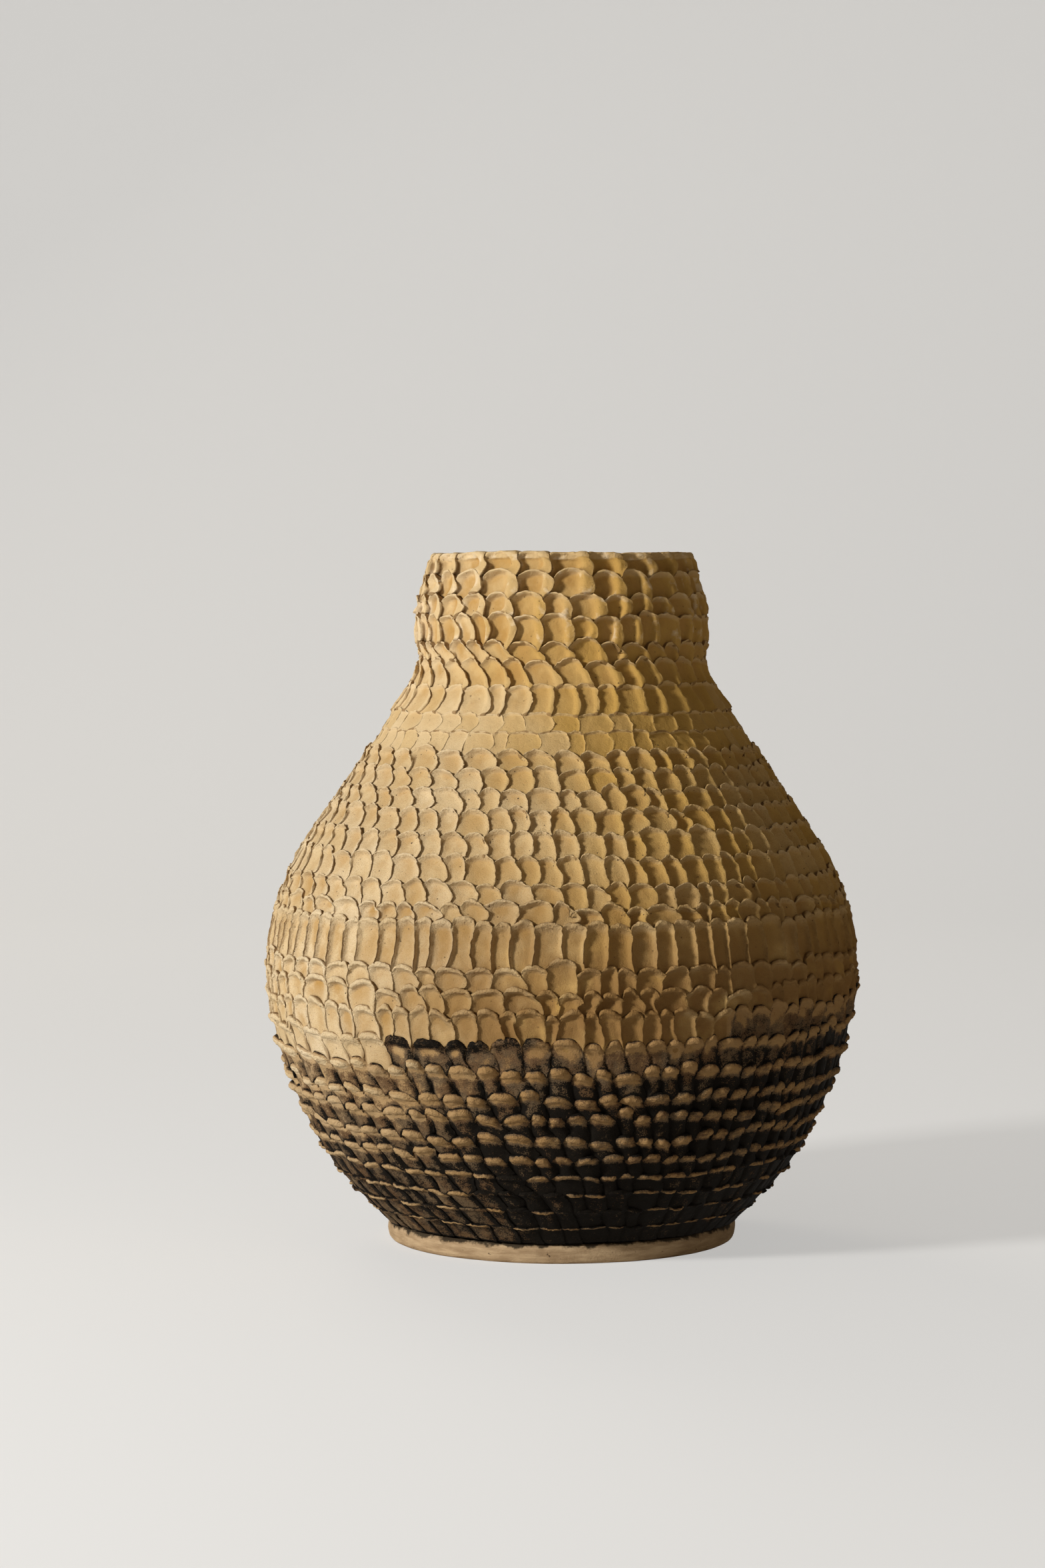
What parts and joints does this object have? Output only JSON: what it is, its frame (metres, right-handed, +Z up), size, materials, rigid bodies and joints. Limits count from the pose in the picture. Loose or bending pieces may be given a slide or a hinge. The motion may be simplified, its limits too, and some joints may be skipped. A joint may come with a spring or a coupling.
{
  "type": "vase",
  "caption": "Round-bellied stoneware vase with a short neck, built from stacked clay coils whose outsides are pressed into rows of fingertip scales.",
  "frame": {"origin": "centre of the flat underside of the base slab", "axes": "+Z up along the vase's axis, through the mouth; -Y towards the viewer of the picture"},
  "size_m": [0.2678, 0.2678, 0.3071],
  "materials": {
    "buff_clay": "dry, unglazed buff stoneware",
    "washed_clay": "buff stoneware under a dark brown iron and manganese wash, wiped off the high points",
    "bare_clay": "bare, smoothed stoneware"
  },
  "bodies": {
    "root": {"base_slab": "bare_clay", "wall_coil_01": "washed_clay", "wall_coil_02": "washed_clay", "wall_coil_03": "washed_clay", "wall_coil_04": "washed_clay", "wall_coil_05": "washed_clay", "wall_coil_06": "washed_clay", "wall_coil_07": "washed_clay", "wall_coil_08": "washed_clay", "wall_coil_09": "washed_clay", "wall_coil_10": "buff_clay", "wall_coil_11": "buff_clay", "wall_coil_12": "buff_clay", "wall_coil_13": "buff_clay", "wall_coil_14": "buff_clay", "wall_coil_15": "buff_clay", "wall_coil_16": "buff_clay", "wall_coil_17": "buff_clay", "wall_coil_18": "buff_clay", "wall_coil_19": "buff_clay", "wall_coil_20": "buff_clay", "wall_coil_21": "buff_clay", "wall_coil_22": "buff_clay", "wall_coil_23": "buff_clay", "wall_coil_24": "buff_clay", "wall_coil_25": "buff_clay", "wall_coil_26": "buff_clay", "wall_coil_27": "buff_clay", "wall_coil_28": "buff_clay", "wall_coil_29": "buff_clay", "wall_coil_30": "buff_clay", "rim_coil": "buff_clay"}
  },
  "joints": []
}
